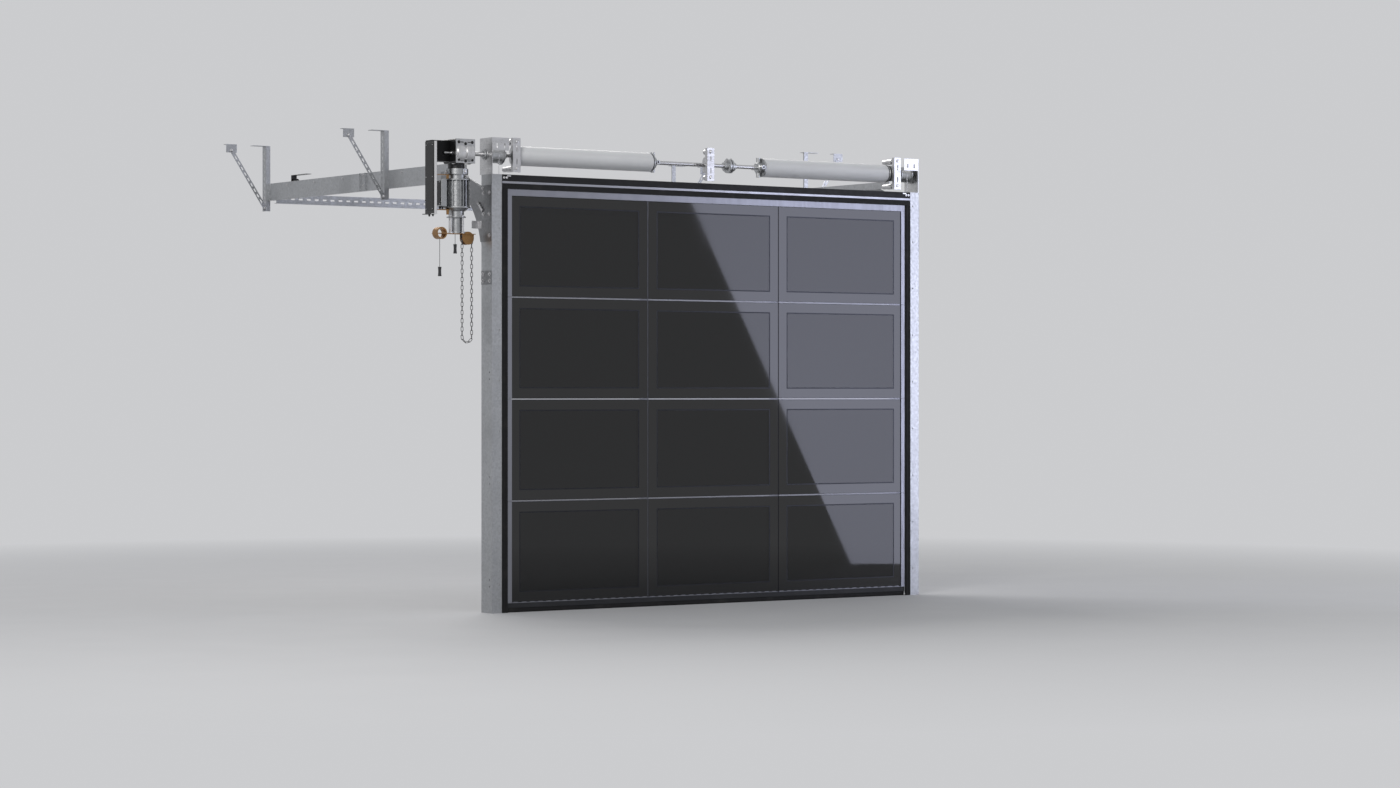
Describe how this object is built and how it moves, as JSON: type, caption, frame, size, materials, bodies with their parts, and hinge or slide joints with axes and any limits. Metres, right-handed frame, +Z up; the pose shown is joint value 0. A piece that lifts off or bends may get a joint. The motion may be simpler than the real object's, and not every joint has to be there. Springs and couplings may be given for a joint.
{
  "type": "glass sectional garage door",
  "caption": "Overhead sectional door of dark glass panes with side frames, curved tracks, torsion-spring shaft and a chain-backed shaft operator.",
  "frame": {"origin": "foot of the left side frame, on its wall face at its outer edge", "axes": "+X along the door to the right as seen from outside, +Y back into the garage, +Z up"},
  "size_m": [3.962, 2.889, 2.955],
  "materials": {
    "galvanised_steel": "satin zinc-coated sheet steel",
    "bright_steel": "bright zinc-plated steel",
    "spring_steel": "light grey powder-coated spring wire",
    "cast_aluminium": "cast and machined aluminium",
    "light_aluminium": "light grey anodised aluminium",
    "dark_aluminium": "black powder-coated aluminium",
    "black_steel": "gloss black painted steel",
    "dark_glass": "tinted glass with a black border",
    "black_rubber": "matt black rubber",
    "black_plastic": "black moulded plastic",
    "nylon": "off-white nylon",
    "bronze_steel": "bronze lacquered steel"
  },
  "bodies": {
    "frame": {"bearing_plates": "bright_steel", "bottom_rail": "dark_aluminium", "bottom_seal": "black_rubber", "chain_guides": "bronze_steel", "control_box": "black_steel", "cord_handles": "black_plastic", "corner_brackets": "galvanised_steel", "curved_tracks": "galvanised_steel", "door_seals": "black_rubber", "door_trims": "light_aluminium", "drive_motor": "cast_aluminium", "end_stops": "black_steel", "frame_plates": "galvanised_steel", "gearbox": "cast_aluminium", "hand_chain": "bright_steel", "header_beam": "black_steel", "horizontal_tracks": "galvanised_steel", "leaf_hinges": "galvanised_steel", "lifting_cables": "bright_steel", "pane_beads": "light_aluminium", "pull_cord_long": "black_plastic", "pull_cord_short": "black_plastic", "rear_cross_rail": "galvanised_steel", "section_frame_1": "dark_aluminium", "section_frame_2": "dark_aluminium", "section_frame_3": "dark_aluminium", "section_frame_4": "dark_aluminium", "section_glass_1": "dark_glass", "section_glass_2": "dark_glass", "section_glass_3": "dark_glass", "section_glass_4": "dark_glass", "shaft_bearings": "cast_aluminium", "side_frame_left": "galvanised_steel", "side_frame_right": "galvanised_steel", "spring_brackets": "bright_steel", "stationary_cones": "cast_aluminium", "torsion_springs": "spring_steel", "track_angles": "galvanised_steel", "track_hangers": "galvanised_steel", "track_rollers": "nylon", "vertical_tracks": "galvanised_steel"},
    "torsion_shaft": {"shaft": "bright_steel", "cable_drums": "cast_aluminium", "winding_cones": "cast_aluminium", "shaft_coupling": "cast_aluminium"}
  },
  "joints": [
    {"name": "shaft_turn", "type": "hinge", "parent": "frame", "child": "torsion_shaft", "pos_m": [0, 0.086, 2.736], "axis": [-1, 0, 0], "range_deg": [0, 2670]}
  ]
}
